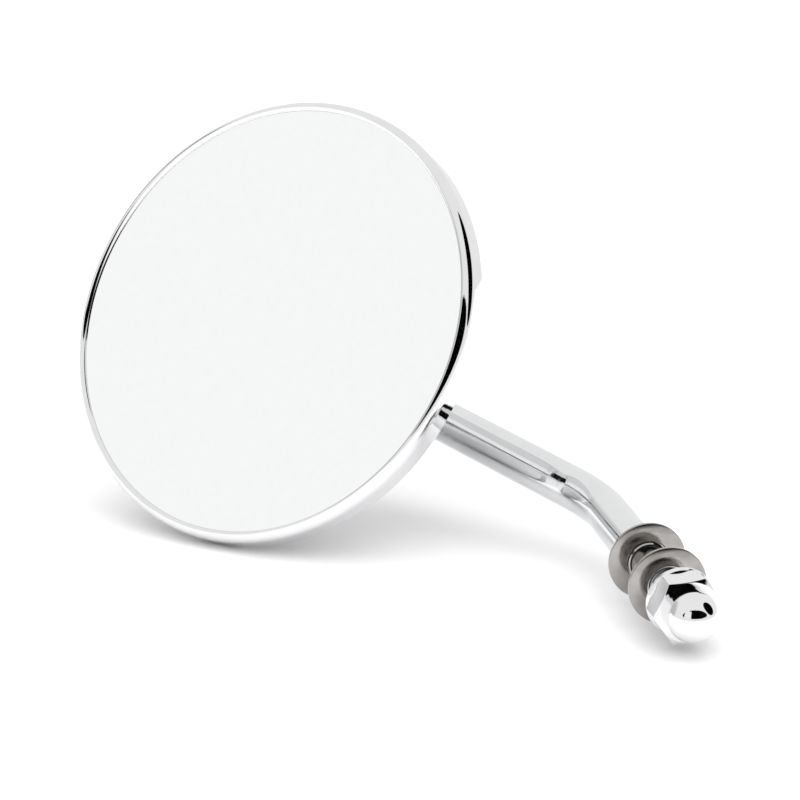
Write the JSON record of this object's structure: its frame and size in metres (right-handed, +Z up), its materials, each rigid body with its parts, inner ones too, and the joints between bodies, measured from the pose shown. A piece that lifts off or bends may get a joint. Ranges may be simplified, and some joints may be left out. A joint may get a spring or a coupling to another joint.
{
  "type": "motorcycle mirror",
  "caption": "Round chromed handlebar mirror on a ball joint, with a bent rod stem and a threaded stud that carries loose washers and a domed cap nut.",
  "frame": {"origin": "on the stud's axis, midway between the facing sides of the two washers, where a bracket is clamped", "axes": "+Z up from the surface the mirror lies on, +X to the right and +Y away from a viewer who faces the glass"},
  "size_m": [0.1369, 0.1357, 0.0921],
  "materials": {
    "stem_chrome": "polished",
    "head_chrome": "polished",
    "nut_chrome": "polished",
    "washer_nickel": "bright nickel plate with faint turning marks",
    "mirror_face": "float glass, silvered behind",
    "mirror_paint": "mirror backing paint",
    "seal_rubber": "matt",
    "foam": "open cell foam",
    "inner_steel": "zinc plated",
    "spring_steel": "hardened",
    "nylon": "moulded"
  },
  "bodies": {
    "stem": {"stem": "stem_chrome", "ball": "inner_steel"},
    "inner_washer": {"inner_washer": "washer_nickel"},
    "nut": {"nut_body": "nut_chrome", "nut_cap": "nut_chrome"},
    "outer_washer": {"outer_washer": "washer_nickel"},
    "rear_liner": {"rear_liner": "nylon"},
    "front_liner": {"front_liner": "nylon"},
    "head": {"socket_cup": "inner_steel", "pressure_cup": "inner_steel", "spring_washer": "spring_steel", "bridge_plate": "inner_steel", "bridge_screws": "inner_steel", "bridge_spacers": "inner_steel", "shell_studs": "inner_steel", "head_shell": "head_chrome", "rim_ring": "head_chrome", "glass_gasket": "seal_rubber", "mirror_glass": "mirror_face", "mirror_coat": "mirror_paint", "foam_pad": "foam", "backing_plate": "inner_steel"}
  },
  "joints": [
    {"name": "nut_turn", "type": "hinge", "parent": "stem", "child": "inner_washer", "pos_m": [0, 0, 0], "axis": [0.2143, -0.9745, -0.0671], "range_deg": [-1850, 1550]},
    {"name": "nut_travel", "type": "slide", "parent": "inner_washer", "child": "nut", "axis": [0.2143, -0.9745, -0.0671], "range_m": [-0.0064, 0.0053]},
    {"name": "washer_slide", "type": "slide", "parent": "stem", "child": "outer_washer", "axis": [0.2143, -0.9745, -0.0671], "range_m": [-0.0122, 0.0062]},
    {"name": "head_swivel", "type": "hinge", "parent": "stem", "child": "rear_liner", "pos_m": [-0.07235, 0.08278, 0.02883], "axis": [-0.4787, -0.6769, 0.5591], "continuous": true},
    {"name": "head_nod", "type": "hinge", "parent": "rear_liner", "child": "front_liner", "pos_m": [-0.07235, 0.08278, 0.02883], "axis": [0.4702, 0.2257, 0.8532], "range_deg": [-15, 15]},
    {"name": "head_lean", "type": "hinge", "parent": "front_liner", "child": "head", "pos_m": [-0.07235, 0.08278, 0.02883], "axis": [0.7376, -0.6313, -0.2395], "range_deg": [-15, 15]}
  ],
  "couplings": [
    {"joint": "nut_turn", "follows": "nut_travel", "rad_per_m": 5026.5}
  ]
}
